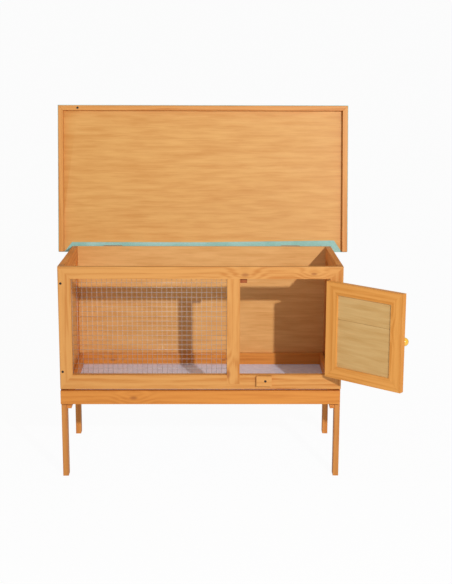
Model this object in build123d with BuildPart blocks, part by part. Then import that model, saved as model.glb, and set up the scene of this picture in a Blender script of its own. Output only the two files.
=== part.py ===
# Guinea pig hutch on four legs, standing with its lid and its door open.
# Millimetres, +Z up, -Y is the front. It is drawn about the point on the floor under the middle
# of the body, and saved with the origin in the middle of the left front foot.

from build123d import *
from collections import namedtuple
from math import asin, atan2, cos, degrees, hypot, radians, sin, tan
import os

# Body
body_width = 900
body_depth = 465
front_height = 703
roof_slope = 3.2

# Front frame
frame_thickness = 18
front_frame_foot = 302.5
stile_width = 41
top_rail_height = 39
bottom_rail_height = 46.5
doorway_width = 284.5
lap_length = 30
arris_radius = 3

# Side frames, whose long stiles are the legs
leg_thickness = 18
leg_depth = 35
side_rail_rear_height = 43
side_bottom_rail_height = 40
side_panel_thickness = 6
groove_depth = 6
groove_clearance = 0.15
back_panel_thickness = 9
back_rebate_width = 12

# Drawer and its runners
drawer_gap = 7
drawer_front_height = 44.5
drawer_front_thickness = 18
drawer_front_play = 2.5
drawer_wall_thickness = 12
drawer_wall_height = 40
drawer_floor_thickness = 3
drawer_side_clearance = 2
drawer_back_clearance = 1.5
runner_width = 14.5
runner_height = 20.5
runner_setback = 2
runner_clearance = 0.4

# Wire mesh behind the left opening, and its staples
mesh_overlap = 15
mesh_columns = 21
mesh_rows = 14
mesh_bar = 1.6
mesh_thickness = 2
staple_crown = 10
staple_wire = 1.1
staple_depth = 5
staple_fit = 0.05
staple_inset = 8

# Door
hinge_gap = 2.5
door_gap = 2
door_stop_gap = 0.2
door_stile_width = 42
door_rail_height = 39
door_board_thickness = 7
door_board_recess = 4
door_board_joint = 0.5
door_upper_board_height = 78
door_open_angle = 140
door_stop_width = 22.5
door_stop_drop = 17
door_stop_height = 44
door_stop_depth = 18

# Door knob
knob_edge_distance = 14
knob_height = 153
knob_head_radius = 13.5
knob_neck_radius = 6.5
knob_foot_radius = 9
knob_length = 34
stud_radius = 2
stud_depth = 12

# Turn button on the bottom rail
button_long_end = 28.5
button_short_end = 20.5
button_width = 34
button_thickness = 12
button_corner_radius = 2
button_clearance = 0.2
button_bore_clearance = 0.08
button_pivot_side = 82
button_pivot_rise = 29

# Hinges
pin_clearance = 0.05
pin_head_height = 1.2
knuckle_count = 5
knuckle_gap = 0.3
door_hinge_length = 50
door_hinge_inset = 59.5
door_hinge_stand_off = 3.3
door_leaf_width = 16
door_leaf_thickness = 1.1
door_knuckle_radius = 3
door_pin_radius = 1.5
lid_hinge_length = 60
lid_hinge_inset = 140
lid_hinge_stand_off = 2.7
lid_leaf_width = 13
lid_leaf_thickness = 1
lid_knuckle_radius = 2.4
lid_pin_radius = 1.2

# Lid
lid_side_overhang = 51.5
lid_rear_overhang = 18.5
lid_front_gap = 1.6
lid_panel_thickness = 9
lid_batten_width = 17
lid_batten_depth = 20
lid_shift = 5
lid_rest_gap = 0.3

# Roofing felt
felt_thickness = 1.5
felt_fold = 34
felt_fold_rise = 6.5
felt_skirt_rise = 2
felt_trim = 27
felt_window_margin = 1

# Screws
screw_fit = 0.05
screw_head_radius = 4
screw_shank_radius = 2
frame_screw_length = 42
frame_screw_top_drop = 54
frame_screw_foot_rise = 57
button_screw_length = 28
batten_screw_length = 26
batten_screw_inset = 67
runner_screw_length = 30
small_screw_head_radius = 2.6
small_screw_shank_radius = 1.3
door_hinge_screw_length = 12
lid_hinge_screw_length = 7.5
back_screw_length = 22
back_screw_rows = 4

# Places that follow from these sizes
half_width = body_width / 2
front = -body_depth / 2
rear = body_depth / 2
frame_rear = front + frame_thickness
leg_inner = half_width - leg_thickness
leg_middle = half_width - leg_thickness / 2
opening_foot = front_frame_foot + bottom_rail_height
opening_head = front_height - top_rail_height
opening_middle = (opening_foot + opening_head) / 2
opening_side = half_width - stile_width
doorway_left = opening_side - doorway_width
mesh_opening_right = doorway_left - stile_width
drawer_head = front_frame_foot - drawer_gap
drawer_foot = drawer_head - drawer_front_height
drawer_face_rear = front + drawer_front_thickness
floor_foot = drawer_foot + runner_clearance
wall_foot = floor_foot + drawer_floor_thickness
wall_head = wall_foot + drawer_wall_height
drawer_half_width = leg_inner - drawer_side_clearance
back_panel_face = rear - back_panel_thickness
drawer_rear = back_panel_face - drawer_back_clearance
front_leg_rear = frame_rear + leg_depth
rear_leg_front = rear - leg_depth

MIDDLE_HIGH = (Align.CENTER, Align.CENTER, Align.MAX)
MIDDLE_LOW = (Align.CENTER, Align.CENTER, Align.MIN)

roof_plane = Plane(
    origin=(0, front, front_height),
    x_dir=(1, 0, 0),
    z_dir=(0, sin(radians(roof_slope)), cos(radians(roof_slope))),
)


def roof_height(y):
    """Height of the sloping top edge of the body at depth y."""
    return front_height - (y - front) * tan(radians(roof_slope))


side_rail_foot = roof_height(rear_leg_front) - side_rail_rear_height
side_bottom_rail_head = drawer_foot + side_bottom_rail_height


def facing_front(y):
    """The upright plane at depth y whose normal points to the front."""
    return Plane.XZ.offset(-y)


def seat(plane, x, y):
    """A plane like the given one, with its origin moved to local x, y."""
    return Plane(origin=plane.from_local_coords((x, y, 0)), x_dir=plane.x_dir, z_dir=plane.z_dir)


def stick(x_span, y_span, z_span):
    """A square-cut piece of wood between three pairs of limits."""
    x_low, x_high = sorted(x_span)
    y_low, y_high = sorted(y_span)
    z_low, z_high = sorted(z_span)
    with BuildPart() as piece:
        with BuildSketch(Plane.XY.offset(z_low)):
            with Locations(((x_low + x_high) / 2, (y_low + y_high) / 2)):
                Rectangle(x_high - x_low, y_high - y_low)
        extrude(amount=z_high - z_low)
    return piece


def cut_block(x_span, y_span, z_span):
    """Cuts a block between three pairs of limits out of the current part."""
    spans = [sorted(span) for span in (x_span, y_span, z_span)]
    with Locations(tuple(sum(span) / 2 for span in spans)):
        Box(*[high - low for low, high in spans], mode=Mode.SUBTRACT)


def screw_group(seats, head_radius, shank_radius, length):
    """Screws whose flat heads lie in the given planes, driven against their normals."""
    head_height = head_radius - shank_radius
    with BuildPart() as screws:
        with Locations(*seats):
            Cylinder(shank_radius, length, align=MIDDLE_HIGH)
            Cone(shank_radius, head_radius, head_height, align=MIDDLE_HIGH)
            for slot in ((head_radius, head_radius / 5), (head_radius / 5, head_radius)):
                Box(*slot, head_height / 2, align=MIDDLE_HIGH, mode=Mode.SUBTRACT)
    return screws


def cut_screw_room(head_radius, shank_radius, length, fit=screw_fit):
    """Cuts the room for one countersunk screw at each current location."""
    Cylinder(shank_radius + fit, length, align=MIDDLE_HIGH, mode=Mode.SUBTRACT)
    Cone(
        shank_radius + fit,
        head_radius + fit,
        head_radius - shank_radius,
        align=MIDDLE_HIGH,
        mode=Mode.SUBTRACT,
    )


# Seats of the big screws: front frame into the legs, and runners into the legs

frame_face = facing_front(front)
frame_back = facing_front(frame_rear)
frame_screw_heights = (
    front_height - frame_screw_top_drop,
    front_frame_foot + frame_screw_foot_rise,
)
leg_middles = ((frame_rear + front_leg_rear) / 2, (rear_leg_front + rear) / 2)
runner_middle = drawer_foot - runner_height / 2


def frame_screw_seats(side):
    """The two screw seats on one outer stile."""
    return [seat(frame_face, side * leg_middle, height) for height in frame_screw_heights]


def runner_screw_seats(side):
    """The two screw seats on the inner face of one runner."""
    face = side * (leg_inner - runner_width)
    return [
        Plane(origin=(face, y, runner_middle), x_dir=(0, 1, 0), z_dir=(-side, 0, 0))
        for y in leg_middles
    ]


def back_screw_seats(side):
    """A row of small screw seats that hold one edge of the back panel to its leg."""
    top = roof_height(rear) - leg_depth
    step = (top - drawer_foot - leg_depth) / (back_screw_rows - 1)
    place = side * (leg_inner + back_rebate_width / 2)
    return [
        Plane(origin=(place, rear, top - step * row), x_dir=(1, 0, 0), z_dir=(0, 1, 0))
        for row in range(back_screw_rows)
    ]


# Wire mesh and the staples along its four edges

mesh_width = mesh_opening_right + opening_side + 2 * mesh_overlap
mesh_height = opening_head - opening_foot + 2 * mesh_overlap
mesh_middle = (mesh_opening_right - opening_side) / 2
mesh_pitch_x = (mesh_width - mesh_bar) / mesh_columns
mesh_pitch_z = (mesh_height - mesh_bar) / mesh_rows
mesh_rear = frame_rear + mesh_thickness
mesh_back = Plane(
    origin=(mesh_middle, mesh_rear, opening_middle),
    x_dir=(1, 0, 0),
    z_dir=(0, 1, 0),
)
mesh_back_turned = Plane(origin=mesh_back.origin, x_dir=(0, 0, 1), z_dir=(0, 1, 0))
staple_row = (opening_head - opening_foot) / 2 + staple_inset
staple_column = (mesh_opening_right + opening_side) / 2 + staple_inset
staple_leg_offset = (staple_crown - staple_wire) / 2
staple_reach = mesh_thickness + staple_depth
upright_wires = [mesh_pitch_x * (i - mesh_columns / 2) for i in range(2, mesh_columns - 1, 4)]
level_wires = [mesh_pitch_z * (i - mesh_rows / 2) for i in range(3, mesh_rows - 2, 4)]
top_staples = [seat(mesh_back, x, -staple_row) for x in upright_wires]
foot_staples = [seat(mesh_back, x, staple_row) for x in upright_wires]
left_staples = [seat(mesh_back_turned, z, -staple_column) for z in level_wires]
centre_staples = [seat(mesh_back_turned, z, staple_column) for z in level_wires]


def cut_staple_room():
    """Cuts the room for the two legs of one staple at each current location."""
    width = staple_wire + 2 * staple_fit
    with Locations((staple_leg_offset, 0), (-staple_leg_offset, 0)):
        Box(width, width, staple_reach, align=MIDDLE_HIGH, mode=Mode.SUBTRACT)


with BuildPart() as wire_mesh:
    with BuildSketch(facing_front(mesh_rear)):
        with Locations((mesh_middle, opening_middle)):
            Rectangle(mesh_width, mesh_height)
            with GridLocations(mesh_pitch_x, mesh_pitch_z, mesh_columns, mesh_rows):
                Rectangle(mesh_pitch_x - mesh_bar, mesh_pitch_z - mesh_bar, mode=Mode.SUBTRACT)
    extrude(amount=mesh_thickness)

with BuildPart() as mesh_staples:
    with Locations(*top_staples, *foot_staples, *left_staples, *centre_staples):
        Box(staple_crown, staple_wire, staple_wire, align=MIDDLE_LOW)
        for side in (-1, 1):
            with Locations((side * staple_leg_offset, 0, staple_wire)):
                Box(staple_wire, staple_wire, staple_reach + staple_wire, align=MIDDLE_HIGH)


# Hinges: a door hinge and a lid hinge of one kind, each with five knuckles round a pin

Hinge = namedtuple("Hinge", "length width thickness offset knuckle pin")
door_hinge = Hinge(
    length=door_hinge_length,
    width=door_leaf_width,
    thickness=door_leaf_thickness,
    offset=hinge_gap / 2,
    knuckle=door_knuckle_radius,
    pin=door_pin_radius,
)
lid_hinge = Hinge(
    length=lid_hinge_length,
    width=lid_leaf_width,
    thickness=lid_leaf_thickness,
    offset=lid_hinge_stand_off,
    knuckle=lid_knuckle_radius,
    pin=lid_pin_radius,
)

door_axis_x = opening_side - hinge_gap / 2
door_axis_y = front - door_hinge_stand_off
door_hinge_heights = (opening_foot + door_hinge_inset, opening_head - door_hinge_inset)
door_turn = radians(door_open_angle)
door_plane = Plane(
    origin=(door_axis_x, door_axis_y, 0),
    x_dir=(-cos(door_turn), -sin(door_turn), 0),
    z_dir=(-sin(door_turn), cos(door_turn), 0),
)

lid_closed_gap = felt_thickness + lid_rest_gap
lid_axis_y = rear + lid_hinge_stand_off
lid_axis_z = roof_height(lid_axis_y) + (lid_closed_gap - lid_hinge_stand_off) / cos(
    radians(roof_slope)
)
lid_rear_reach = lid_rear_overhang + felt_thickness
lid_rear_lever = hypot(lid_rear_reach, lid_hinge_stand_off - felt_thickness)
lid_lean = asin((lid_hinge_stand_off - lid_rest_gap) / lid_rear_lever) + atan2(
    lid_hinge_stand_off - felt_thickness, lid_rear_reach
)
lid_hinge_places = (lid_hinge_inset - half_width, half_width - lid_hinge_inset)
lid_plane = Plane(
    origin=(0, lid_axis_y, lid_axis_z),
    x_dir=(1, 0, 0),
    z_dir=(0, -cos(lid_lean), sin(lid_lean)),
)

door_frame_seats = [
    Plane(origin=(door_axis_x, door_axis_y, z), x_dir=(0, 1, 0), z_dir=(0, 0, 1))
    for z in door_hinge_heights
]
door_leaf_seats = [
    Plane(origin=(door_axis_x, door_axis_y, z), x_dir=door_plane.z_dir, z_dir=(0, 0, 1))
    for z in door_hinge_heights
]
lid_box_seats = [
    Plane(origin=(x, lid_axis_y, lid_axis_z), x_dir=(0, 0, -1), z_dir=(1, 0, 0))
    for x in lid_hinge_places
]
lid_leaf_seats = [
    Plane(origin=(x, lid_axis_y, lid_axis_z), x_dir=lid_plane.y_dir * -1, z_dir=(1, 0, 0))
    for x in lid_hinge_places
]


def leaf_screw_seats(hinge, seats, side):
    """Three screw seats on the open face of each leaf."""
    reach = (hinge.knuckle + hinge.width) / 2
    face = side * (hinge.offset - hinge.thickness)
    screw_seats = []
    for base in seats:
        for rise in (-hinge.length / 3, 0, hinge.length / 3):
            point = base.from_local_coords((reach, face, rise))
            screw_seats.append(Plane(origin=point, x_dir=base.z_dir, z_dir=base.y_dir * -side))
    return screw_seats


def hinge_leaves(hinge, seats, side):
    """Leaves with every second knuckle; side -1 has the outer knuckles and +1 the others."""
    step = (hinge.length + knuckle_gap) / knuckle_count
    knuckle_length = step - knuckle_gap
    first_middle = (knuckle_length - hinge.length) / 2
    plate_start = hinge.knuckle + knuckle_gap
    plate_middle = side * (hinge.offset - hinge.thickness / 2)
    with BuildPart() as leaves:
        with Locations(*seats):
            with Locations(((plate_start + hinge.width) / 2, plate_middle, 0)):
                Box(hinge.width - plate_start, hinge.thickness, hinge.length)
            for index in range(0 if side < 0 else 1, knuckle_count, 2):
                middle = first_middle + step * index
                with Locations((0, 0, middle)):
                    Cylinder(hinge.knuckle, knuckle_length)
                with Locations((plate_start / 2, plate_middle, middle)):
                    Box(plate_start, hinge.thickness, knuckle_length)
            Cylinder(hinge.pin + pin_clearance, 2 * hinge.length, mode=Mode.SUBTRACT)
        with Locations(*leaf_screw_seats(hinge, seats, side)):
            cut_screw_room(small_screw_head_radius, small_screw_shank_radius, hinge.width)
    return leaves


def hinge_pins(hinge, seats):
    """Pins with a small head at each end of their hinge."""
    head_radius = (hinge.pin + hinge.knuckle) / 2
    with BuildPart() as pins:
        with Locations(*seats):
            Cylinder(hinge.pin, hinge.length)
            for side in (-1, 1):
                with Locations((0, 0, side * (hinge.length + pin_head_height) / 2)):
                    Cylinder(head_radius, pin_head_height)
    return pins


door_hinge_frame_leaves = hinge_leaves(door_hinge, door_frame_seats, -1)
door_hinge_door_leaves = hinge_leaves(door_hinge, door_leaf_seats, 1)
door_hinge_pins = hinge_pins(door_hinge, door_frame_seats)
lid_hinge_body_leaves = hinge_leaves(lid_hinge, lid_box_seats, -1)
lid_hinge_lid_leaves = hinge_leaves(lid_hinge, lid_leaf_seats, 1)
lid_hinge_pins = hinge_pins(lid_hinge, lid_box_seats)

door_frame_screw_seats = leaf_screw_seats(door_hinge, door_frame_seats, -1)
door_leaf_screw_seats = leaf_screw_seats(door_hinge, door_leaf_seats, 1)
lid_box_screw_seats = leaf_screw_seats(lid_hinge, lid_box_seats, -1)
lid_leaf_screw_seats = leaf_screw_seats(lid_hinge, lid_leaf_seats, 1)


def small_screws(seats, length):
    """Small countersunk screws at the given seats."""
    return screw_group(seats, small_screw_head_radius, small_screw_shank_radius, length)


door_hinge_frame_screws = small_screws(door_frame_screw_seats, door_hinge_screw_length)
door_hinge_door_screws = small_screws(door_leaf_screw_seats, door_hinge_screw_length)
lid_hinge_body_screws = small_screws(lid_box_screw_seats, lid_hinge_screw_length)
lid_hinge_lid_screws = small_screws(lid_leaf_screw_seats, lid_hinge_screw_length)


# Front frame: mitred rails and stiles, with a centre stile lapped behind and over the rails

centre_stile_middle = (mesh_opening_right + doorway_left) / 2
button_pivot_x = doorway_left + button_pivot_side
button_pivot_z = front_frame_foot + button_pivot_rise

with BuildPart() as front_top_rail:
    with BuildSketch(frame_back):
        with BuildLine():
            Polyline(
                (-half_width, front_height),
                (half_width, front_height),
                (opening_side, opening_head),
                (-opening_side, opening_head),
                close=True,
            )
        make_face()
    extrude(amount=frame_thickness)
    with BuildSketch(frame_back):
        with Locations((centre_stile_middle, opening_head)):
            Rectangle(stile_width, lap_length, align=(Align.CENTER, Align.MIN))
    extrude(amount=frame_thickness / 2, mode=Mode.SUBTRACT)
    split(bisect_by=roof_plane, keep=Keep.BOTTOM)
    top_edges = front_top_rail.edges().filter_by(Axis.X).group_by(Axis.Z)[-1]
    fillet(top_edges.sort_by(Axis.Y)[0], arris_radius)
    with Locations(*top_staples):
        cut_staple_room()

with BuildPart() as front_bottom_rail:
    with BuildSketch(frame_back):
        with BuildLine():
            Polyline(
                (-half_width, front_frame_foot),
                (half_width, front_frame_foot),
                (opening_side, opening_foot),
                (-opening_side, opening_foot),
                close=True,
            )
        make_face()
    extrude(amount=frame_thickness)
    with BuildSketch(frame_face):
        with Locations((centre_stile_middle, opening_foot)):
            Rectangle(stile_width, lap_length, align=(Align.CENTER, Align.MAX))
    extrude(amount=-frame_thickness / 2, mode=Mode.SUBTRACT)
    with Locations(*foot_staples):
        cut_staple_room()
    with Locations(seat(frame_face, button_pivot_x, button_pivot_z)):
        Cylinder(
            screw_shank_radius + screw_fit,
            button_screw_length - button_thickness - button_clearance,
            align=MIDDLE_HIGH,
            mode=Mode.SUBTRACT,
        )

with BuildPart() as front_centre_stile:
    with BuildSketch(frame_back):
        with Locations((centre_stile_middle, opening_middle)):
            Rectangle(stile_width, opening_head - opening_foot)
    extrude(amount=frame_thickness)
    with BuildSketch(frame_back):
        with Locations((centre_stile_middle, opening_head)):
            Rectangle(stile_width, lap_length, align=(Align.CENTER, Align.MIN))
    extrude(amount=frame_thickness / 2)
    with BuildSketch(frame_face):
        with Locations((centre_stile_middle, opening_foot)):
            Rectangle(stile_width, lap_length, align=(Align.CENTER, Align.MAX))
    extrude(amount=-frame_thickness / 2)
    with Locations(*centre_staples):
        cut_staple_room()


def front_stile(side):
    """One outer stile of the front frame, screwed to the leg behind it."""
    with BuildPart() as stile:
        with BuildSketch(frame_back):
            with BuildLine():
                Polyline(
                    (side * half_width, front_frame_foot),
                    (side * opening_side, opening_foot),
                    (side * opening_side, opening_head),
                    (side * half_width, front_height),
                    close=True,
                )
            make_face()
        extrude(amount=frame_thickness)
        split(bisect_by=roof_plane, keep=Keep.BOTTOM)
        outer_edges = stile.edges().filter_by(Axis.Z).group_by(Axis.X)[0 if side < 0 else -1]
        fillet(outer_edges.sort_by(Axis.Y)[0], arris_radius)
        with Locations(*frame_screw_seats(side)):
            cut_screw_room(screw_head_radius, screw_shank_radius, frame_screw_length)
        if side < 0:
            with Locations(*left_staples):
                cut_staple_room()
        else:
            with Locations(*door_frame_screw_seats):
                cut_screw_room(
                    small_screw_head_radius,
                    small_screw_shank_radius,
                    door_hinge_screw_length,
                )
    return stile


front_left_stile = front_stile(-1)
front_right_stile = front_stile(1)
frame_screws = screw_group(
    frame_screw_seats(-1) + frame_screw_seats(1),
    screw_head_radius,
    screw_shank_radius,
    frame_screw_length,
)

door_stop_block = stick(
    (doorway_left, doorway_left + door_stop_width),
    (frame_rear, frame_rear + door_stop_depth),
    (opening_head - door_stop_drop, opening_head - door_stop_drop + door_stop_height),
)


# Side frames: legs and rails round a thin panel in grooves, and the back panel in its rebates


def cut_side_groove(side):
    """Cuts the groove that holds the edges of one side panel."""
    reach = groove_depth + groove_clearance
    half_groove = side_panel_thickness / 2 + groove_clearance
    cut_block(
        (side * leg_middle - half_groove, side * leg_middle + half_groove),
        (front_leg_rear - reach, rear_leg_front + reach),
        (side_bottom_rail_head - reach, side_rail_foot + reach),
    )


def leg(side, y_span, at_rear):
    """One leg with its panel groove and its screw holes, cut off along the roof's slope."""
    x_span = sorted((side * leg_inner, side * half_width))
    with BuildPart() as post:
        with BuildSketch(Plane.XY):
            with Locations((sum(x_span) / 2, sum(y_span) / 2)):
                Rectangle(leg_thickness, leg_depth)
        extrude(amount=front_height)
        split(bisect_by=roof_plane, keep=Keep.BOTTOM)
        cut_side_groove(side)
        with Locations(*runner_screw_seats(side)):
            cut_screw_room(screw_head_radius, screw_shank_radius, runner_screw_length)
        if at_rear:
            cut_block(
                (side * leg_inner, side * (leg_inner + back_rebate_width)),
                (back_panel_face, rear),
                (drawer_foot, front_height),
            )
            with Locations(*back_screw_seats(side)):
                cut_screw_room(
                    small_screw_head_radius,
                    small_screw_shank_radius,
                    back_screw_length,
                )
        else:
            with Locations(*frame_screw_seats(side)):
                cut_screw_room(screw_head_radius, screw_shank_radius, frame_screw_length)
    return post


def side_top_rail(side):
    """The sloping top rail between the two legs of one side."""
    with BuildPart() as rail:
        with BuildSketch(Plane.XY.offset(side_rail_foot)):
            with Locations((side * leg_middle, (front_leg_rear + rear_leg_front) / 2)):
                Rectangle(leg_thickness, rear_leg_front - front_leg_rear)
        extrude(amount=front_height - side_rail_foot)
        split(bisect_by=roof_plane, keep=Keep.BOTTOM)
        cut_side_groove(side)
    return rail


def side_bottom_rail(side):
    """The level bottom rail between the two legs of one side."""
    with BuildPart() as rail:
        with BuildSketch(Plane.XY.offset(drawer_foot)):
            with Locations((side * leg_middle, (front_leg_rear + rear_leg_front) / 2)):
                Rectangle(leg_thickness, rear_leg_front - front_leg_rear)
        extrude(amount=side_bottom_rail_height)
        cut_side_groove(side)
    return rail


def side_panel(side):
    """The thin panel of one side, let into the legs and rails."""
    half_panel = side_panel_thickness / 2
    return stick(
        (side * leg_middle - half_panel, side * leg_middle + half_panel),
        (front_leg_rear - groove_depth, rear_leg_front + groove_depth),
        (side_bottom_rail_head - groove_depth, side_rail_foot + groove_depth),
    )


def drawer_runner(side):
    """The strip screwed to the legs of one side that carries the drawer."""
    x_span = sorted((side * (leg_inner - runner_width), side * leg_inner))
    with BuildPart() as runner:
        with BuildSketch(Plane.XY.offset(drawer_foot)):
            with Locations((sum(x_span) / 2, (drawer_face_rear + runner_setback + back_panel_face) / 2)):
                Rectangle(runner_width, back_panel_face - drawer_face_rear - runner_setback)
        extrude(amount=-runner_height)
        with Locations(*runner_screw_seats(side)):
            cut_screw_room(screw_head_radius, screw_shank_radius, runner_screw_length)
    return runner


front_leg_span = (frame_rear, front_leg_rear)
rear_leg_span = (rear_leg_front, rear)
left_front_leg = leg(-1, front_leg_span, at_rear=False)
right_front_leg = leg(1, front_leg_span, at_rear=False)
left_rear_leg = leg(-1, rear_leg_span, at_rear=True)
right_rear_leg = leg(1, rear_leg_span, at_rear=True)
left_side_top_rail = side_top_rail(-1)
right_side_top_rail = side_top_rail(1)
left_side_bottom_rail = side_bottom_rail(-1)
right_side_bottom_rail = side_bottom_rail(1)
left_side_panel = side_panel(-1)
right_side_panel = side_panel(1)
left_drawer_runner = drawer_runner(-1)
right_drawer_runner = drawer_runner(1)
runner_screws = screw_group(
    runner_screw_seats(-1) + runner_screw_seats(1),
    screw_head_radius,
    screw_shank_radius,
    runner_screw_length,
)

with BuildPart() as back_panel:
    with BuildSketch(facing_front(rear)):
        with Locations((0, drawer_foot)):
            Rectangle(
                2 * (leg_inner + back_rebate_width - groove_clearance),
                front_height - drawer_foot,
                align=(Align.CENTER, Align.MIN),
            )
    extrude(amount=back_panel_thickness)
    split(bisect_by=roof_plane, keep=Keep.BOTTOM)
    with Locations(*lid_box_screw_seats):
        cut_screw_room(small_screw_head_radius, small_screw_shank_radius, lid_hinge_screw_length)
    with Locations(*back_screw_seats(-1), *back_screw_seats(1)):
        cut_screw_room(small_screw_head_radius, small_screw_shank_radius, back_screw_length)

back_panel_screws = small_screws(back_screw_seats(-1) + back_screw_seats(1), back_screw_length)


# Drawer: a front board, three low walls and a thin floor under them

drawer_front = stick(
    (-half_width, half_width - drawer_front_play),
    (front, drawer_face_rear),
    (drawer_foot, drawer_head),
)
drawer_inner_side = drawer_half_width - drawer_wall_thickness
drawer_left_wall = stick(
    (-drawer_half_width, -drawer_inner_side),
    (drawer_face_rear, drawer_rear),
    (wall_foot, wall_head),
)
drawer_right_wall = stick(
    (drawer_inner_side, drawer_half_width),
    (drawer_face_rear, drawer_rear),
    (wall_foot, wall_head),
)
drawer_back_wall = stick(
    (-drawer_inner_side, drawer_inner_side),
    (drawer_rear - drawer_wall_thickness, drawer_rear),
    (wall_foot, wall_head),
)
drawer_floor = stick(
    (-drawer_half_width, drawer_half_width),
    (drawer_face_rear, drawer_rear),
    (floor_foot, wall_foot),
)


# Turn button and its pivot screw

button_face = facing_front(front - button_clearance - button_thickness)
button_seat = seat(button_face, button_pivot_x, button_pivot_z)

with BuildPart() as turn_button:
    with BuildSketch(facing_front(front - button_clearance)):
        with Locations((button_pivot_x + (button_short_end - button_long_end) / 2, button_pivot_z)):
            RectangleRounded(button_long_end + button_short_end, button_width, button_corner_radius)
    extrude(amount=button_thickness)
    with Locations(button_seat):
        cut_screw_room(
            screw_head_radius,
            screw_shank_radius,
            button_thickness,
            fit=button_bore_clearance,
        )

turn_button_screw = screw_group(
    [button_seat],
    screw_head_radius,
    screw_shank_radius,
    button_screw_length,
)


# Door: a mitred frame round two boards in a groove, drawn on the plane of the open door

door_face = door_plane.offset(door_hinge_stand_off)
door_thickness = frame_thickness - door_stop_gap
door_hinge_edge = hinge_gap / 2
door_latch_edge = door_hinge_edge + doorway_width - hinge_gap - door_gap
door_foot = opening_foot + door_gap
door_head = opening_head - door_gap
door_opening_left = door_hinge_edge + door_stile_width
door_opening_right = door_latch_edge - door_stile_width
door_opening_foot = door_foot + door_rail_height
door_opening_head = door_head - door_rail_height
board_back = door_face.offset(door_thickness - door_board_recess)
board_joint_height = door_opening_head - door_upper_board_height


def door_frame_piece(outline):
    """One mitred piece of the door's frame, with the groove for the boards."""
    with BuildPart() as piece:
        with BuildSketch(door_face):
            with BuildLine():
                Polyline(*outline, close=True)
            make_face()
        extrude(amount=door_thickness)
        middle = (
            (door_opening_left + door_opening_right) / 2,
            (door_opening_foot + door_opening_head) / 2,
        )
        reach = groove_depth + groove_clearance
        with BuildSketch(board_back.offset(groove_clearance)):
            with Locations(middle):
                Rectangle(
                    door_opening_right - door_opening_left + 2 * reach,
                    door_opening_head - door_opening_foot + 2 * reach,
                )
        extrude(amount=-door_board_thickness - 2 * groove_clearance, mode=Mode.SUBTRACT)
    return piece


door_top_rail = door_frame_piece(
    [
        (door_hinge_edge, door_head),
        (door_latch_edge, door_head),
        (door_opening_right, door_opening_head),
        (door_opening_left, door_opening_head),
    ]
)
door_bottom_rail = door_frame_piece(
    [
        (door_hinge_edge, door_foot),
        (door_latch_edge, door_foot),
        (door_opening_right, door_opening_foot),
        (door_opening_left, door_opening_foot),
    ]
)
door_hinge_stile = door_frame_piece(
    [
        (door_hinge_edge, door_foot),
        (door_opening_left, door_opening_foot),
        (door_opening_left, door_opening_head),
        (door_hinge_edge, door_head),
    ]
)
door_latch_stile = door_frame_piece(
    [
        (door_latch_edge, door_foot),
        (door_opening_right, door_opening_foot),
        (door_opening_right, door_opening_head),
        (door_latch_edge, door_head),
    ]
)

knob_place = (door_latch_edge - knob_edge_distance, door_foot + knob_height, 0)
knob_seat = Plane(
    origin=door_face.from_local_coords(knob_place),
    x_dir=door_face.x_dir,
    z_dir=door_face.z_dir * -1,
)

with door_hinge_stile:
    with Locations(*door_leaf_screw_seats):
        cut_screw_room(
            small_screw_head_radius,
            small_screw_shank_radius,
            door_hinge_screw_length,
        )

with door_latch_stile:
    with Locations(knob_seat):
        Cylinder(
            stud_radius + screw_fit,
            stud_depth,
            align=MIDDLE_HIGH,
            mode=Mode.SUBTRACT,
        )


def door_board(low, high):
    """One board of the door between two heights, let into the side grooves."""
    with BuildPart() as board:
        with BuildSketch(board_back):
            with Locations(((door_opening_left + door_opening_right) / 2, (low + high) / 2)):
                Rectangle(door_opening_right - door_opening_left + 2 * groove_depth, high - low)
        extrude(amount=-door_board_thickness)
    return board


door_upper_board = door_board(
    board_joint_height + door_board_joint / 2, door_opening_head + groove_depth
)
door_lower_board = door_board(
    door_opening_foot - groove_depth, board_joint_height - door_board_joint / 2
)

with BuildPart() as door_knob:
    head_middle = knob_length - knob_head_radius
    neck_top = head_middle - (knob_head_radius**2 - knob_neck_radius**2) ** 0.5
    section = Plane(
        origin=knob_seat.origin,
        x_dir=knob_seat.x_dir,
        z_dir=knob_seat.x_dir.cross(knob_seat.z_dir),
    )
    with BuildSketch(section):
        with BuildLine():
            Line((0, 0), (knob_foot_radius, 0))
            SagittaArc(
                (knob_foot_radius, 0),
                (knob_neck_radius, neck_top),
                (knob_foot_radius - knob_neck_radius) / 2,
            )
            ThreePointArc(
                (knob_neck_radius, neck_top),
                (knob_head_radius, head_middle),
                (0, knob_length),
            )
            Line((0, knob_length), (0, 0))
        make_face()
    revolve(axis=Axis(knob_seat.origin, knob_seat.z_dir))
    with Locations(knob_seat):
        Cylinder(stud_radius, stud_depth, align=MIDDLE_HIGH)


# Lid: a panel with three battens under its edges, drawn on the plane of the raised lid

lid_side = half_width + lid_side_overhang
lid_width = 2 * lid_side
batten_inner_side = lid_side - lid_batten_width
batten_inner_front = (lid_axis_y - front + lid_front_gap) / cos(radians(roof_slope))
lid_rear_edge = -lid_rear_overhang
lid_front_edge = batten_inner_front + lid_batten_width
lid_length = lid_front_edge - lid_rear_edge
lid_under = lid_plane.offset(-lid_hinge_stand_off)
lid_under_middle = seat(lid_under, lid_shift, 0)
batten_screw_seat = seat(
    lid_under_middle.offset(lid_batten_depth),
    batten_screw_inset - lid_side,
    lid_front_edge - lid_batten_width / 2,
)

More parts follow.
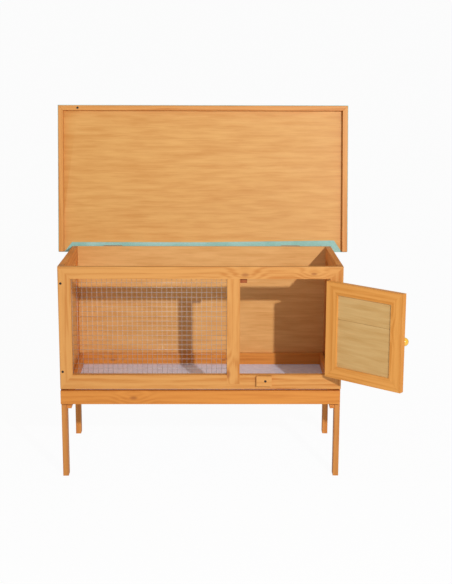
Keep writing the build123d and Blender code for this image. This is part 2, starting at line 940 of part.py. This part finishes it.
with BuildPart() as lid_panel:
    with BuildSketch(lid_under_middle):
        with Locations((0, (lid_rear_edge + lid_front_edge) / 2)):
            Rectangle(lid_width, lid_length)
    extrude(amount=-lid_panel_thickness)
    with Locations(*lid_leaf_screw_seats):
        cut_screw_room(small_screw_head_radius, small_screw_shank_radius, lid_hinge_screw_length)
    with Locations(batten_screw_seat):
        cut_screw_room(screw_head_radius, screw_shank_radius, batten_screw_length)

with BuildPart() as lid_front_batten:
    with BuildSketch(lid_under_middle):
        with BuildLine():
            Polyline(
                (-lid_side, lid_front_edge),
                (lid_side, lid_front_edge),
                (batten_inner_side, batten_inner_front),
                (-batten_inner_side, batten_inner_front),
                close=True,
            )
        make_face()
    extrude(amount=lid_batten_depth)
    with Locations(batten_screw_seat):
        cut_screw_room(screw_head_radius, screw_shank_radius, batten_screw_length)


def lid_side_batten(side):
    """The batten under one side edge of the lid, mitred at the front."""
    with BuildPart() as batten:
        with BuildSketch(lid_under_middle):
            with BuildLine():
                Polyline(
                    (side * lid_side, lid_rear_edge),
                    (side * lid_side, lid_front_edge),
                    (side * batten_inner_side, batten_inner_front),
                    (side * batten_inner_side, lid_rear_edge),
                    close=True,
                )
            make_face()
        extrude(amount=lid_batten_depth)
    return batten


lid_left_batten = lid_side_batten(-1)
lid_right_batten = lid_side_batten(1)
lid_batten_screw = screw_group(
    [batten_screw_seat], screw_head_radius, screw_shank_radius, batten_screw_length
)


# Roofing felt: over the lid, down its edges, and folded under its rear edge

felt_top = lid_under_middle.offset(-lid_panel_thickness - felt_thickness)
felt_skirt = felt_thickness + lid_panel_thickness + lid_batten_depth - felt_skirt_rise
felt_wrap = 2 * felt_thickness + lid_panel_thickness
felt_rear_edge = lid_rear_edge - felt_thickness
flap_side = batten_inner_side - groove_clearance
flap_head = felt_rear_edge + felt_fold

with BuildPart() as roof_felt:
    with BuildSketch(felt_top):
        with Locations((0, (lid_rear_edge + lid_front_edge) / 2)):
            Rectangle(lid_width + 2 * felt_thickness, lid_length + 2 * felt_thickness)
    extrude(amount=felt_skirt)
    with BuildSketch(felt_top.offset(felt_thickness)):
        with Locations((0, (lid_rear_edge + lid_front_edge) / 2)):
            Rectangle(lid_width, lid_length)
    extrude(amount=felt_skirt, mode=Mode.SUBTRACT)
    with BuildSketch(felt_top.offset(felt_wrap)):
        with Locations((0, lid_rear_edge)):
            Rectangle(2 * lid_width, felt_thickness, align=(Align.CENTER, Align.MAX))
    extrude(amount=felt_skirt, mode=Mode.SUBTRACT)
    with BuildSketch(lid_under_middle):
        with BuildLine():
            Polyline(
                (-flap_side, felt_rear_edge),
                (flap_side, felt_rear_edge),
                (flap_side - felt_trim, flap_head + felt_fold_rise),
                (0, flap_head),
                (felt_trim - flap_side, flap_head),
                close=True,
            )
        make_face()
    extrude(amount=felt_thickness)
    with BuildSketch(lid_under):
        for place in lid_hinge_places:
            with Locations((place, -lid_leaf_width - felt_window_margin)):
                Rectangle(
                    lid_hinge_length + 2 * (pin_head_height + felt_window_margin),
                    lid_leaf_width + lid_knuckle_radius + 2 * felt_window_margin,
                    align=(Align.CENTER, Align.MIN),
                )
    extrude(amount=felt_thickness, mode=Mode.SUBTRACT)


# Label and save every piece

pieces = {
    "front_top_rail": front_top_rail,
    "front_bottom_rail": front_bottom_rail,
    "front_left_stile": front_left_stile,
    "front_right_stile": front_right_stile,
    "front_centre_stile": front_centre_stile,
    "frame_screws": frame_screws,
    "door_stop_block": door_stop_block,
    "wire_mesh": wire_mesh,
    "mesh_staples": mesh_staples,
    "left_front_leg": left_front_leg,
    "right_front_leg": right_front_leg,
    "left_rear_leg": left_rear_leg,
    "right_rear_leg": right_rear_leg,
    "left_side_top_rail": left_side_top_rail,
    "right_side_top_rail": right_side_top_rail,
    "left_side_bottom_rail": left_side_bottom_rail,
    "right_side_bottom_rail": right_side_bottom_rail,
    "left_side_panel": left_side_panel,
    "right_side_panel": right_side_panel,
    "left_drawer_runner": left_drawer_runner,
    "right_drawer_runner": right_drawer_runner,
    "runner_screws": runner_screws,
    "back_panel": back_panel,
    "back_panel_screws": back_panel_screws,
    "drawer_front": drawer_front,
    "drawer_left_wall": drawer_left_wall,
    "drawer_right_wall": drawer_right_wall,
    "drawer_back_wall": drawer_back_wall,
    "drawer_floor": drawer_floor,
    "turn_button": turn_button,
    "turn_button_screw": turn_button_screw,
    "door_top_rail": door_top_rail,
    "door_bottom_rail": door_bottom_rail,
    "door_hinge_stile": door_hinge_stile,
    "door_latch_stile": door_latch_stile,
    "door_upper_board": door_upper_board,
    "door_lower_board": door_lower_board,
    "door_knob": door_knob,
    "door_hinge_frame_leaves": door_hinge_frame_leaves,
    "door_hinge_door_leaves": door_hinge_door_leaves,
    "door_hinge_pins": door_hinge_pins,
    "door_hinge_frame_screws": door_hinge_frame_screws,
    "door_hinge_door_screws": door_hinge_door_screws,
    "lid_panel": lid_panel,
    "lid_front_batten": lid_front_batten,
    "lid_left_batten": lid_left_batten,
    "lid_right_batten": lid_right_batten,
    "lid_batten_screw": lid_batten_screw,
    "roof_felt": roof_felt,
    "lid_hinge_body_leaves": lid_hinge_body_leaves,
    "lid_hinge_lid_leaves": lid_hinge_lid_leaves,
    "lid_hinge_pins": lid_hinge_pins,
    "lid_hinge_body_screws": lid_hinge_body_screws,
    "lid_hinge_lid_screws": lid_hinge_lid_screws,
}

from_foot = Location((leg_middle, -leg_middles[0], 0))

os.makedirs("parts", exist_ok=True)
for name, piece in pieces.items():
    saved = piece.part.moved(from_foot)
    saved.label = name
    export_step(saved, f"parts/{name}.step")

print(f"{len(pieces)} pieces, saved {leg_middle:.3f} to the right and {-leg_middles[0]:.3f} back")
print(f"lid leans back {degrees(lid_lean):.3f} degrees")
print(f"lid closes by {degrees(lid_lean) + 90 - roof_slope:.3f} degrees")
print(f"lid axis at y {lid_axis_y:.3f}, z {lid_axis_z:.3f}")
print(f"door axis at x {door_axis_x:.3f}, y {door_axis_y:.3f}")
print(f"turn button pivot at x {button_pivot_x:.3f}, z {button_pivot_z:.3f}")
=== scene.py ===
# %% [markdown]
# A guinea pig hutch stands on four legs with its lid raised and its door open.
# The solids come from the shared frame, so this file adds surfaces, the real wire mesh, light and a camera.
# %% Load the shared frame
from math import cos, radians, sin

import bmesh
import bpy
from mathutils import Matrix, Vector


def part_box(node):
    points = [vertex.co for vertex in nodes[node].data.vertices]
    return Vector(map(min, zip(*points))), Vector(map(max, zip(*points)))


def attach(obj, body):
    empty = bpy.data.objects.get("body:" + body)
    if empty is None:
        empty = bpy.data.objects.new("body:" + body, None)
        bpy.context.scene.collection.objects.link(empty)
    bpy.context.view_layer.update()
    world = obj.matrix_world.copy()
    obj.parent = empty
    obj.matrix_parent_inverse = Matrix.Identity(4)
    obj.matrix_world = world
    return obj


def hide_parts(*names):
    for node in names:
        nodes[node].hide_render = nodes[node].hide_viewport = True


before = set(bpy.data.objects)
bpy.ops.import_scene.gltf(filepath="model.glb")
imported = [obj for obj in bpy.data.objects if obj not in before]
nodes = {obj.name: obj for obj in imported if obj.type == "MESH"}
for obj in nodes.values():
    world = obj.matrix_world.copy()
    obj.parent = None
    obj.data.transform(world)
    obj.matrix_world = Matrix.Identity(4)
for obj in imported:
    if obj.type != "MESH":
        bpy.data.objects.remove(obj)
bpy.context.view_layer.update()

print("nodes", len(nodes))

# %% [markdown]
# Shader sums are easier to read as sums than as chains of node calls.
# A Value wraps one output socket and answers to the usual signs, also with a plain number on the left.
# Colours and vectors go through their own nodes, because a maths node would flatten them to one number.
# %% A small language for shaders


class Value:
    """One output socket of a shader, with arithmetic."""

    def __init__(self, surface, socket):
        self.surface = surface
        self.socket = socket

    def maths(self, operation, *others):
        return self.surface.maths(operation, self, *others)

    def __add__(self, other):
        return self.maths("ADD", other)

    def __radd__(self, other):
        return self.surface.maths("ADD", other, self)

    def __sub__(self, other):
        return self.maths("SUBTRACT", other)

    def __rsub__(self, other):
        return self.surface.maths("SUBTRACT", other, self)

    def __mul__(self, other):
        return self.maths("MULTIPLY", other)

    def __rmul__(self, other):
        return self.surface.maths("MULTIPLY", other, self)

    def __truediv__(self, other):
        return self.maths("DIVIDE", other)

    def __rtruediv__(self, other):
        return self.surface.maths("DIVIDE", other, self)

    def sine(self):
        return self.maths("SINE")

    def between(self, low, high):
        """Runs smoothly from 0 at low to 1 at high."""
        made = self.surface.node(
            "ShaderNodeMapRange",
            {"interpolation_type": "SMOOTHSTEP"},
            {"Value": self, "From Min": low, "From Max": high},
        )
        return Value(self.surface, made.outputs["Result"])

    def along(self, direction):
        """The share of this vector along a direction."""
        made = self.surface.node(
            "ShaderNodeVectorMath",
            {"operation": "DOT_PRODUCT"},
            {0: self, 1: tuple(direction)},
        )
        return Value(self.surface, made.outputs["Value"])

    def distance(self, point):
        """The distance of this vector from a point."""
        made = self.surface.node(
            "ShaderNodeVectorMath",
            {"operation": "DISTANCE"},
            {0: self, 1: tuple(point)},
        )
        return Value(self.surface, made.outputs["Value"])


class Surface:
    """A material, or the world, under construction."""

    def __init__(self, name, owner=None):
        self.owner = owner or bpy.data.materials.new(name)
        self.owner.use_nodes = True
        self.tree = self.owner.node_tree
        self.tree.nodes.clear()

    def node(self, kind, settings, sockets):
        """Adds any node: its settings first, then its sockets."""
        made = self.tree.nodes.new(kind)
        for key, item in settings.items():
            setattr(made, key, item)
        for key, item in sockets.items():
            if isinstance(item, Value):
                self.tree.links.new(item.socket, made.inputs[key])
            else:
                made.inputs[key].default_value = item
        return made

    def maths(self, operation, *items):
        made = self.node("ShaderNodeMath", {"operation": operation}, dict(enumerate(items)))
        return Value(self, made.outputs[0])

    def place(self):
        made = self.node("ShaderNodeTexCoord", {}, {})
        return Value(self, made.outputs["Object"])

    def vector(self, x, y, z):
        made = self.node("ShaderNodeCombineXYZ", {}, {0: x, 1: y, 2: z})
        return Value(self, made.outputs[0])

    def noise(self, vector, scale, detail):
        made = self.node(
            "ShaderNodeTexNoise",
            {},
            {"Vector": vector, "Scale": scale, "Detail": detail},
        )
        return Value(self, made.outputs[0])

    def blend(self, share, first, second):
        made = self.node(
            "ShaderNodeMix",
            {"data_type": "RGBA"},
            {0: share, 6: first, 7: second},
        )
        return Value(self, made.outputs[2])

    def bump(self, height, strength, reach):
        made = self.node(
            "ShaderNodeBump",
            {},
            {"Height": height, "Strength": strength, "Distance": reach},
        )
        return Value(self, made.outputs[0])

    def shader(self, kind, **sockets):
        """Adds a shader and returns what comes out of it."""
        named = {key.replace("_", " "): item for key, item in sockets.items()}
        return Value(self, self.node(kind, {}, named).outputs[0])

    def mixed(self, share, first, second):
        """Mixes two shaders."""
        made = self.node("ShaderNodeMixShader", {}, {0: share, 1: first, 2: second})
        return Value(self, made.outputs[0])

    def seen(self):
        """One for what the camera sees directly, and otherwise nothing."""
        made = self.node("ShaderNodeLightPath", {}, {})
        return Value(self, made.outputs["Is Camera Ray"])

    def close(self, shader, kind="ShaderNodeOutputMaterial"):
        """Sends a shader to the output and returns the material or the world."""
        self.node(kind, {}, {"Surface": shader})
        return self.owner

    def finish(self, **sockets):
        """Adds the usual shader and returns the material."""
        return self.close(self.shader("ShaderNodeBsdfPrincipled", **sockets))


def colour(red, green, blue):
    """A screen colour out of 255 as the linear colour a shader works in."""
    shares = [channel / 255 for channel in (red, green, blue)]
    return tuple(s / 12.92 if s <= 0.04045 else ((s + 0.055) / 1.055) ** 2.4 for s in shares) + (1,)


# %% [markdown]
# Varnished pine shows long streaks along the grain, finer fibres between them, and a knot here and there.
# The noise could be stretched with one scale per axis, but the door and the lid stand at an angle.
# So each piece names the direction of its grain, and the pattern is measured along that direction.
# A seed per piece moves the pattern, so no two boards are cut from the same place.
# A knot is drawn out along the grain, and bends the rings round it as a branch does.
# %% Wood
body_middle = Vector((0.441, 0.197, 0))
across_x = Vector((1, 0, 0))
across_y = Vector((0, 1, 0))
upright = Vector((0, 0, 1))
door_turn = radians(140)
door_across = Vector((-cos(door_turn), -sin(door_turn), 0))
lid_lean = radians(10.313)
lid_up = Vector((0, sin(lid_lean), cos(lid_lean)))
knot_tone = (150, 82, 38)
knot_influence = 5
knot_bend = 12


def wood(name, pale, deep, grain, side, seed, knots=(), calm=False):
    streak = 60 if calm else 55
    stretch = 8 if calm else 2.6
    figure = 0.04 if calm else 0.22
    surface = Surface(name)
    place = surface.place()
    run = place.along(grain)
    width = place.along(side)
    depth = place.along(grain.cross(side))
    broad = surface.noise(
        surface.vector(run * stretch + seed, width * streak, depth * streak + seed), 1, 6
    )
    fibre = surface.noise(
        surface.vector(run * 14 + seed, width * 260, depth * 260), 1, 3
    )
    stretched = surface.vector(run * 0.5, width, depth)
    reaches = []
    bend = 0
    for point, radius in knots:
        knot = body_middle + Vector(point)
        reach = stretched.distance(
            (knot.dot(grain) * 0.5, knot.dot(side), knot.dot(grain.cross(side)))
        )
        reaches.append((reach, radius))
        bend = bend + (1 - reach.between(0, radius * knot_influence)) * knot_bend
    rings = (width * streak * 6 + broad * 16 + bend + seed).sine() * 0.5 + 0.5
    tone = broad * 0.7 + rings * figure + fibre * 0.35
    tint = surface.blend(tone.between(0.25, 0.8), colour(*deep), colour(*pale))
    for reach, radius in reaches:
        near = 1 - reach.between(radius * 0.25, radius)
        tint = surface.blend(near * 0.6, tint, colour(*knot_tone))
    return surface.finish(
        Base_Color=tint,
        Roughness=fibre * 0.16 + 0.38,
        Normal=surface.bump(fibre, 0.25, 0.0004),
        Specular_IOR_Level=0.25,
    )


# %% [markdown]
# The tones follow the photograph: orange pine in front, redder legs at the back, paler plywood inside.
# Each group lists its nodes with the direction of the grain and the direction across it.
# Knots sit where the photograph shows them, in metres from the point under the middle of the body.
# %% Wooden pieces
front_pale = (216, 154, 84)
front_deep = (188, 114, 46)
ply_pale = (232, 178, 112)
ply_deep = (212, 152, 84)
leg_pale = (220, 144, 70)
leg_deep = (190, 108, 46)
batten_pale = (222, 154, 82)
batten_deep = (198, 122, 52)
door_pale = (232, 162, 80)
door_deep = (204, 128, 48)

knots_of = {
    "front_top_rail": [((0.14, -0.2325, 0.677), 0.009), ((0.357, -0.2325, 0.68), 0.007)],
    "drawer_front": [((-0.216, -0.2325, 0.272), 0.009)],
    "drawer_back_wall": [((-0.314, 0.21, 0.27), 0.006), ((0.0775, 0.21, 0.27), 0.006)],
    "door_latch_stile": [((0.591, -0.39, 0.542), 0.008)],
    "front_centre_stile": [((0.088, -0.2325, 0.352), 0.01)],
}
wooden = [
    (front_pale, front_deep, across_x, upright, ["front_top_rail", "front_bottom_rail"]),
    (
        front_pale,
        front_deep,
        upright,
        across_x,
        ["front_left_stile", "front_right_stile", "front_centre_stile"],
    ),
    # The door stop block is darker and redder than the other wood: painted shade for the shadow it sits in
    # behind the top rail.
    ((168, 92, 46), (138, 66, 32), upright, across_x, ["door_stop_block"]),
    ((204, 136, 68), (176, 102, 44), upright, across_x, ["left_front_leg", "right_front_leg"]),
    (leg_pale, leg_deep, upright, across_x, ["left_rear_leg", "right_rear_leg"]),
    (
        leg_pale,
        leg_deep,
        across_y,
        upright,
        [
            "left_side_top_rail",
            "right_side_top_rail",
            "left_side_bottom_rail",
            "right_side_bottom_rail",
            "left_drawer_runner",
            "right_drawer_runner",
            "drawer_left_wall",
            "drawer_right_wall",
        ],
    ),
    (ply_pale, ply_deep, across_y, upright, ["left_side_panel", "right_side_panel"]),
    (ply_pale, ply_deep, across_x, upright, ["back_panel"]),
    ((216, 140, 62), (194, 116, 44), across_x, upright, ["drawer_front", "drawer_back_wall"]),
    (front_pale, front_deep, across_x, upright, ["turn_button"]),
    (door_pale, door_deep, door_across, upright, ["door_top_rail", "door_bottom_rail"]),
    (door_pale, door_deep, upright, door_across, ["door_hinge_stile", "door_latch_stile"]),
    (
        (214, 176, 116),
        (196, 152, 90),
        door_across,
        upright,
        ["door_upper_board", "door_lower_board"],
    ),
    ((226, 170, 98), (208, 144, 72), across_x, lid_up, ["lid_panel"]),
    (batten_pale, batten_deep, across_x, lid_up, ["lid_front_batten"]),
    (batten_pale, batten_deep, lid_up, across_x, ["lid_left_batten", "lid_right_batten"]),
]


def cover(name, material):
    """Gives one node its material."""
    piece = nodes[name]
    piece.data.materials.clear()
    piece.data.materials.append(material)


def ease_edges(name):
    """Breaks the sharp edges of one board, so that its joints show as fine lines."""
    weld = nodes[name].modifiers.new("weld", "WELD")
    weld.merge_threshold = 0.00001
    bevel = nodes[name].modifiers.new("eased_edges", "BEVEL")
    bevel.width = 0.0007
    bevel.segments = 2
    bevel.limit_method = "ANGLE"
    bevel.angle_limit = radians(50)


covered = set()
for pale, deep, grain, side, names in wooden:
    for name in names:
        seed = 3.7 * (len(covered) + 1)
        calm = name.endswith(("panel", "board"))
        cover(name, wood(name, pale, deep, grain, side, seed, knots_of.get(name, ()), calm))
        ease_edges(name)
        covered.add(name)
print("wooden pieces", len(covered))

# %% [markdown]
# Roofing felt is bonded down, so it is a plain solid and its look is all in the surface.
# Crushed mineral makes it sparkle in two sizes of grain, with worn patches between.
# The drawer floor is smooth hardboard with a pale lavender face, only lightly mottled.
# %% Felt and drawer floor
felt = Surface("roof_felt")
felt_place = felt.place()
grit = felt.noise(felt_place, 900, 2)
wear = felt.noise(felt_place, 14, 3)
felt_tint = felt.blend(
    (grit * 0.7 + wear * 0.4).between(0.35, 0.75), colour(132, 182, 168), colour(174, 212, 206)
)
cover(
    "roof_felt",
    felt.finish(Base_Color=felt_tint, Roughness=0.95, Normal=felt.bump(grit, 0.6, 0.0008)),
)

floor_board = Surface("drawer_floor")
mottle = floor_board.noise(floor_board.place(), 60, 4)
board_tint = floor_board.blend(
    mottle.between(0.3, 0.7), colour(216, 220, 242), colour(228, 232, 252)
)
cover(
    "drawer_floor",
    floor_board.finish(Base_Color=board_tint, Roughness=mottle * 0.1 + 0.4),
)
covered.update(["roof_felt", "drawer_floor"])

# %% [markdown]
# Metal parts are small, so one surface serves each kind: black screws, plated hinges and galvanised wire.
# Fine noise in the roughness stands for brushing and handling.
# The knob is smooth yellow lacquer with a clear coat over it.
# %% Metal and knob


def metal(name, dark, light, rough, metallic):
    surface = Surface(name)
    speck = surface.noise(surface.place(), 700, 2)
    tint = surface.blend(speck.between(0.35, 0.65), colour(*dark), colour(*light))
    return surface.finish(
        Base_Color=tint,
        Roughness=speck * 0.2 + rough,
        Metallic=metallic,
        Normal=surface.bump(speck, 0.2, 0.0002),
    )


black = metal("black_screw", (28, 26, 26), (52, 48, 46), 0.35, 0.4)
plated = metal("hinge_steel", (150, 148, 144), (196, 194, 190), 0.28, 1)
galvanised = metal("mesh_wire", (176, 174, 170), (214, 212, 208), 0.4, 0.6)

lacquer = Surface("knob")
swirl = lacquer.noise(lacquer.place(), 90, 3)
knob_tint = lacquer.blend(swirl.between(0.3, 0.7), colour(240, 176, 40), colour(250, 198, 66))
cover(
    "door_knob",
    lacquer.finish(Base_Color=knob_tint, Roughness=swirl * 0.08 + 0.16, Coat_Weight=0.7),
)
covered.add("door_knob")

for name in nodes:
    if name in covered:
        continue
    if name.startswith(("door_hinge", "lid_hinge")):
        cover(name, plated)
    elif name in ("wire_mesh", "mesh_staples"):
        cover(name, galvanised)
    else:
        cover(name, black)
        print("black", name)

# %% [markdown]
# Here it is drawn as what it is: welded round wire, uprights in front and level wires touching them behind.
# Each wire is an eight-sided rod, which is cheap, and round enough at this size.
# %% Welded wire mesh
wire_radius = 0.00045
wire_pitch = 0.0156
mesh_low, mesh_high = [Vector(corner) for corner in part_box("wire_mesh")]


def add_rod(shape, start, end):
    """Adds one round wire between two points."""
    span = end - start
    turn = span.to_track_quat("Z", "Y").to_matrix().to_4x4()
    bmesh.ops.create_cone(
        shape,
        cap_ends=True,
        segments=8,
        radius1=wire_radius,
        radius2=wire_radius,
        depth=span.length,
        matrix=Matrix.Translation((start + end) / 2) @ turn,
    )


wires = bmesh.new()
upright_count = round((mesh_high.x - mesh_low.x) / wire_pitch)
level_count = round((mesh_high.z - mesh_low.z) / wire_pitch)
upright_y = mesh_low.y + wire_radius
level_y = mesh_low.y + 3 * wire_radius
for index in range(upright_count + 1):
    share = index / upright_count
    x = mesh_low.x + wire_radius + share * (mesh_high.x - mesh_low.x - 2 * wire_radius)
    add_rod(wires, Vector((x, upright_y, mesh_low.z)), Vector((x, upright_y, mesh_high.z)))
for index in range(level_count + 1):
    share = index / level_count
    z = mesh_low.z + wire_radius + share * (mesh_high.z - mesh_low.z - 2 * wire_radius)
    add_rod(wires, Vector((mesh_low.x, level_y, z)), Vector((mesh_high.x, level_y, z)))
for face in wires.faces:
    face.smooth = len(face.verts) == 4
mesh_data = bpy.data.meshes.new("welded_wire")
wires.to_mesh(mesh_data)
wires.free()
mesh_data.materials.append(galvanised)
welded_wire = bpy.data.objects.new("welded_wire", mesh_data)
bpy.context.scene.collection.objects.link(welded_wire)
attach(welded_wire, "hutch")
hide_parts("wire_mesh")
print("wires", upright_count + 1, level_count + 1)

# %% [markdown]
# The photograph has a plain white ground, with hardly a shadow on it.
# A wide floor carries the light back up under the hutch, and still takes its shadow.
# What the camera sees of it is lifted towards white, so no extra light has to burn it out.
# %% Floor and surroundings
floor_data = bpy.data.meshes.new("floor")
floor_shape = bmesh.new()
bmesh.ops.create_grid(floor_shape, x_segments=1, y_segments=1, size=200)
floor_shape.to_mesh(floor_data)
floor_shape.free()
floor = bpy.data.objects.new("floor", floor_data)
bpy.context.scene.collection.objects.link(floor)

ground = Surface("floor")
matt = ground.shader("ShaderNodeBsdfDiffuse", Color=(0.86, 0.86, 0.86, 1))
glow = ground.shader("ShaderNodeEmission", Color=(1, 1, 1, 1), Strength=1)
lift_to_white = ground.seen() * 0.95
floor_data.materials.append(ground.close(ground.mixed(lift_to_white, matt, glow)))

world = bpy.data.worlds.new("surroundings")
bpy.context.scene.world = world
sky = Surface("surroundings", world)
fill = sky.shader("ShaderNodeBackground", Color=(0.98, 0.99, 1, 1), Strength=0.45)
white = sky.shader("ShaderNodeBackground", Color=(1, 1, 1, 1))
sky.close(sky.mixed(sky.seen(), fill, white), "ShaderNodeOutputWorld")

# %% [markdown]
# The shadows inside the hutch give the key light away: in front, to the right, a little above the roof.
# The smaller the lamp, the crisper the shadow edges, so it is only a hand's width across.
# %% Key light
key_data = bpy.data.lights.new("key", "AREA")
key_data.shape = "DISK"
key_data.size = 0.1
key_data.energy = 164
key = bpy.data.objects.new("key", key_data)
key.location = body_middle + Vector((1.66, -4.53, 2.36))
aim = body_middle + Vector((0, 0, 0.6)) - key.location
key.rotation_euler = aim.to_track_quat("-Z", "Y").to_euler()
bpy.context.scene.collection.objects.link(key)

# %% [markdown]
# The camera was solved from the straight edges of the hutch in the photograph.
# It is given as a place and three angles, and turned here into the three axes of the camera.
# %% Camera
yaw = radians(0.660)
pitch = radians(13.252)
roll = radians(0.195)
forward = Vector((sin(yaw) * cos(pitch), cos(yaw) * cos(pitch), -sin(pitch)))
level_right = Vector((cos(yaw), -sin(yaw), 0))
level_up = level_right.cross(forward)
right = level_right * cos(roll) + level_up * sin(roll)
up = level_up * cos(roll) - level_right * sin(roll)
camera_data = bpy.data.cameras.new("camera")
camera_data.sensor_width = 36
camera_data.lens = 80.05
camera_data.clip_end = 500
camera = bpy.data.objects.new("camera", camera_data)
turn = Matrix((right, up, -forward)).transposed().to_4x4()
camera_place = body_middle + Vector((0.03403, -4.21708, 1.56049))
camera.matrix_world = Matrix.Translation(camera_place) @ turn
bpy.context.scene.collection.objects.link(camera)
bpy.context.scene.camera = camera
bpy.context.scene.view_settings.view_transform = "Standard"
